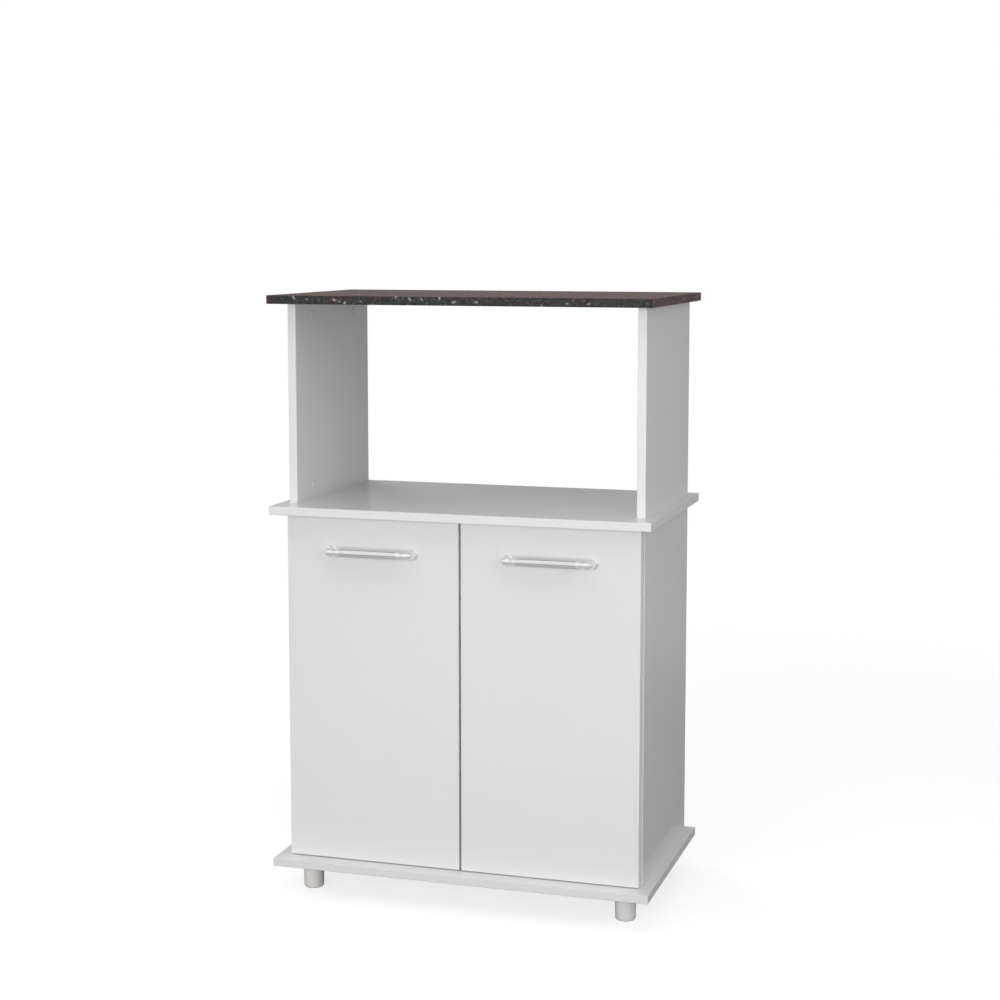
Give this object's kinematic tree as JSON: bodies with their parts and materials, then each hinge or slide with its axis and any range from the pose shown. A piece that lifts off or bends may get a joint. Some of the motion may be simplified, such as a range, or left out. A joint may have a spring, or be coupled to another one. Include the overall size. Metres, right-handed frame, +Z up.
{
  "type": "microwave cabinet",
  "caption": "Free-standing white kitchen cabinet with a dark granite-look top, an open microwave niche, an overhanging shelf and a cupboard with hinged doors on short round feet.",
  "frame": {"origin": "on the floor, under the middle of the cabinet's footprint", "axes": "+Z up, +Y from the doors to the back, +X to the right as seen from the front"},
  "size_m": [0.685, 0.4, 1.069],
  "materials": {
    "white_laminate": "particle board with a glossy white lacquered face and white edge banding",
    "granite_laminate": "particle board with a dark granite-pattern laminate, satin gloss",
    "white_hardboard": "thin hardboard, white on the inside and bare brown on the back",
    "foot_plastic": "warm light grey moulded plastic, satin",
    "handle_bar_metal": "satin silver",
    "handle_end_chrome": "bright plated",
    "hinge_steel": "nickel-plated pressed steel",
    "pin_steel": "bright steel",
    "screw_steel": "zinc plated",
    "dowel_wood": "bare hardwood",
    "cam_zinc": "die-cast zinc",
    "cover_plastic": "white moulded plastic",
    "support_plastic": "white moulded plastic"
  },
  "bodies": {
    "carcass": {"back_panel": "white_hardboard", "back_panel_nails": "screw_steel", "base_panel": "white_laminate", "cam_bolts": "cam_zinc", "cam_covers": "cover_plastic", "cam_locks": "cam_zinc", "carcass_screws": "screw_steel", "dowels": "dowel_wood", "foot_front_left": "foot_plastic", "foot_front_right": "foot_plastic", "foot_rear_left": "foot_plastic", "foot_rear_right": "foot_plastic", "foot_screws": "screw_steel", "hinge_arm_screws": "screw_steel", "hinge_plate_screws": "screw_steel", "inner_shelf": "white_laminate", "left_lower_hinge_arm": "hinge_steel", "left_lower_hinge_plate": "hinge_steel", "left_upper_hinge_arm": "hinge_steel", "left_upper_hinge_plate": "hinge_steel", "lower_side_left": "white_laminate", "lower_side_right": "white_laminate", "mid_shelf": "white_laminate", "right_lower_hinge_arm": "hinge_steel", "right_lower_hinge_plate": "hinge_steel", "right_upper_hinge_arm": "hinge_steel", "right_upper_hinge_plate": "hinge_steel", "shelf_supports": "support_plastic", "top_panel": "granite_laminate", "upper_side_left": "white_laminate", "upper_side_right": "white_laminate"},
    "left_door": {"left_door": "white_laminate", "left_handle_bar": "handle_bar_metal", "left_handle_end_inner": "handle_end_chrome", "left_handle_end_outer": "handle_end_chrome", "left_handle_screws": "screw_steel", "left_hinge_cup_screws": "screw_steel", "left_lower_hinge_cup": "hinge_steel", "left_lower_hinge_pin": "pin_steel", "left_upper_hinge_cup": "hinge_steel", "left_upper_hinge_pin": "pin_steel"},
    "right_door": {"right_door": "white_laminate", "right_handle_bar": "handle_bar_metal", "right_handle_end_inner": "handle_end_chrome", "right_handle_end_outer": "handle_end_chrome", "right_handle_screws": "screw_steel", "right_hinge_cup_screws": "screw_steel", "right_lower_hinge_cup": "hinge_steel", "right_lower_hinge_pin": "pin_steel", "right_upper_hinge_cup": "hinge_steel", "right_upper_hinge_pin": "pin_steel"}
  },
  "joints": [
    {"name": "left_door_hinge", "type": "hinge", "parent": "carcass", "child": "left_door", "pos_m": [-0.3135, -0.1645, 0.3755], "axis": [0, 0, -1], "range_deg": [0, 95]},
    {"name": "right_door_hinge", "type": "hinge", "parent": "carcass", "child": "right_door", "pos_m": [0.3135, -0.1645, 0.3755], "axis": [0, 0, 1], "range_deg": [0, 95]}
  ]
}
